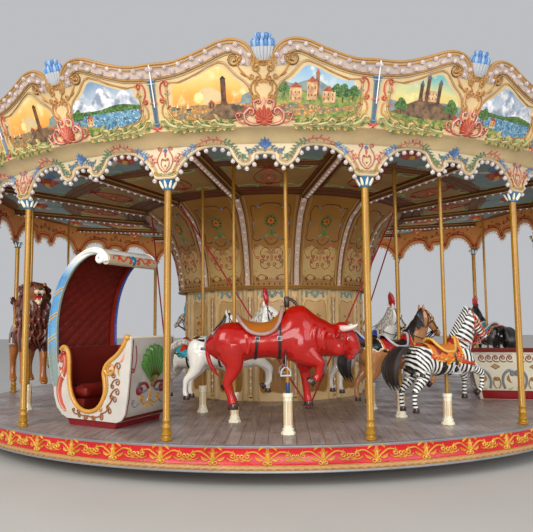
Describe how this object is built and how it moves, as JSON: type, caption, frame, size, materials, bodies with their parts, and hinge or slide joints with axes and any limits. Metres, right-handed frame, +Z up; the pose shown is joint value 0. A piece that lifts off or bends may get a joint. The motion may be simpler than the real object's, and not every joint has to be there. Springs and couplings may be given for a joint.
{
  "type": "fairground carousel",
  "caption": "Round fairground carousel with scalloped canopy boards, brass poles, jumping animal figures and seated chariots on a turning deck.",
  "frame": {"origin": "on the ground under the centre mast", "axes": "+Z up, -Y towards the front bay, +X to the right seen from the front"},
  "size_m": [10.4104, 10.5068, 5.7303],
  "materials": {
    "frame_steel": "matt grey paint",
    "deck_boards": "worn brown paint",
    "rim_red": "gloss red with gold relief",
    "drum_cream": "painted panels",
    "cove_ochre": "painted panels",
    "ceiling_ochre": "painted panels",
    "roof_sheet": "matt off-white sheet",
    "gold": "gold paint",
    "pole_brass": "satin",
    "panel_cream": "painted fibreglass",
    "chariot_blue": "painted fibreglass",
    "chariot_white": "painted fibreglass",
    "seat_cloth": "buttoned vinyl",
    "column_cream": "gloss",
    "bull_red": "glossy painted fibreglass",
    "zebra_paint": "glossy painted fibreglass",
    "lion_brown": "glossy painted fibreglass",
    "horse_brown": "glossy painted fibreglass",
    "horse_white": "glossy painted fibreglass",
    "horse_black": "glossy painted fibreglass",
    "horse_chestnut": "glossy painted fibreglass",
    "horse_grey": "glossy painted fibreglass",
    "horse_palomino": "glossy painted fibreglass"
  },
  "bodies": {
    "base": {"base_beam_long": "frame_steel", "base_beam_front": "frame_steel", "base_beam_back": "frame_steel", "centre_mast": "frame_steel"},
    "turntable": {"deck": "deck_boards", "deck_rim": "rim_red", "drum": "drum_cream", "cove": "cove_ochre", "ceiling": "ceiling_ochre", "roof_cover": "roof_sheet", "roof_crown": "gold", "outer_pole_01": "pole_brass", "outer_pole_02": "pole_brass", "outer_pole_03": "pole_brass", "outer_pole_04": "pole_brass", "outer_pole_05": "pole_brass", "outer_pole_06": "pole_brass", "outer_pole_07": "pole_brass", "outer_pole_08": "pole_brass", "outer_pole_09": "pole_brass", "outer_pole_10": "pole_brass", "outer_pole_11": "pole_brass", "outer_pole_12": "pole_brass", "outer_pole_13": "pole_brass", "outer_pole_14": "pole_brass", "bay_panels_1": "panel_cream", "bay_panels_2": "panel_cream", "bay_panels_3": "panel_cream", "bay_panels_4": "panel_cream", "bay_panels_5": "panel_cream", "bay_panels_6": "panel_cream", "bay_panels_7": "panel_cream", "chariot_hood": "chariot_blue", "chariot_tub": "chariot_white", "chariot_seat": "seat_cloth", "bench_tub": "chariot_white", "bench_seat": "seat_cloth", "bull_column": "column_cream", "zebra_column": "column_cream", "lion_column": "column_cream", "brown_horse_column": "column_cream", "white_horse_column": "column_cream", "teal_horse_column": "column_cream", "plumed_horse_column": "column_cream", "black_horse_column": "column_cream", "chestnut_horse_column": "column_cream", "grey_horse_column": "column_cream", "palomino_horse_column": "column_cream"},
    "bull": {"bull": "bull_red"},
    "zebra": {"zebra": "zebra_paint"},
    "lion": {"lion": "lion_brown"},
    "brown_horse": {"brown_horse": "horse_brown"},
    "white_horse": {"white_horse": "horse_white"},
    "teal_horse": {"teal_horse": "horse_white"},
    "plumed_horse": {"plumed_horse": "horse_white"},
    "black_horse": {"black_horse": "horse_black"},
    "chestnut_horse": {"chestnut_horse": "horse_chestnut"},
    "grey_horse": {"grey_horse": "horse_grey"},
    "palomino_horse": {"palomino_horse": "horse_palomino"}
  },
  "joints": [
    {"name": "turntable_spin", "type": "hinge", "parent": "base", "child": "turntable", "pos_m": [0, 0, 0], "axis": [0, 0, 1], "continuous": true},
    {"name": "bull_rise", "type": "slide", "parent": "turntable", "child": "bull", "axis": [0, 0, 1], "range_m": [-0.16, 0.08]},
    {"name": "zebra_rise", "type": "slide", "parent": "turntable", "child": "zebra", "axis": [0, 0, 1], "range_m": [-0.01, 0.23]},
    {"name": "lion_rise", "type": "slide", "parent": "turntable", "child": "lion", "axis": [0, 0, 1], "range_m": [-0.2, 0.04]},
    {"name": "brown_horse_rise", "type": "slide", "parent": "turntable", "child": "brown_horse", "axis": [0, 0, 1], "range_m": [-0.05, 0.19]},
    {"name": "white_horse_rise", "type": "slide", "parent": "turntable", "child": "white_horse", "axis": [0, 0, 1], "range_m": [-0.1, 0.14]},
    {"name": "teal_horse_rise", "type": "slide", "parent": "turntable", "child": "teal_horse", "axis": [0, 0, 1], "range_m": [-0.01, 0.23]},
    {"name": "plumed_horse_rise", "type": "slide", "parent": "turntable", "child": "plumed_horse", "axis": [0, 0, 1], "range_m": [-0.09, 0.15]},
    {"name": "black_horse_rise", "type": "slide", "parent": "turntable", "child": "black_horse", "axis": [0, 0, 1], "range_m": [-0.18, 0.06]},
    {"name": "chestnut_horse_rise", "type": "slide", "parent": "turntable", "child": "chestnut_horse", "axis": [0, 0, 1], "range_m": [-0.04, 0.2]},
    {"name": "grey_horse_rise", "type": "slide", "parent": "turntable", "child": "grey_horse", "axis": [0, 0, 1], "range_m": [-0.15, 0.09]},
    {"name": "palomino_horse_rise", "type": "slide", "parent": "turntable", "child": "palomino_horse", "axis": [0, 0, 1], "range_m": [-0.07, 0.17]}
  ]
}
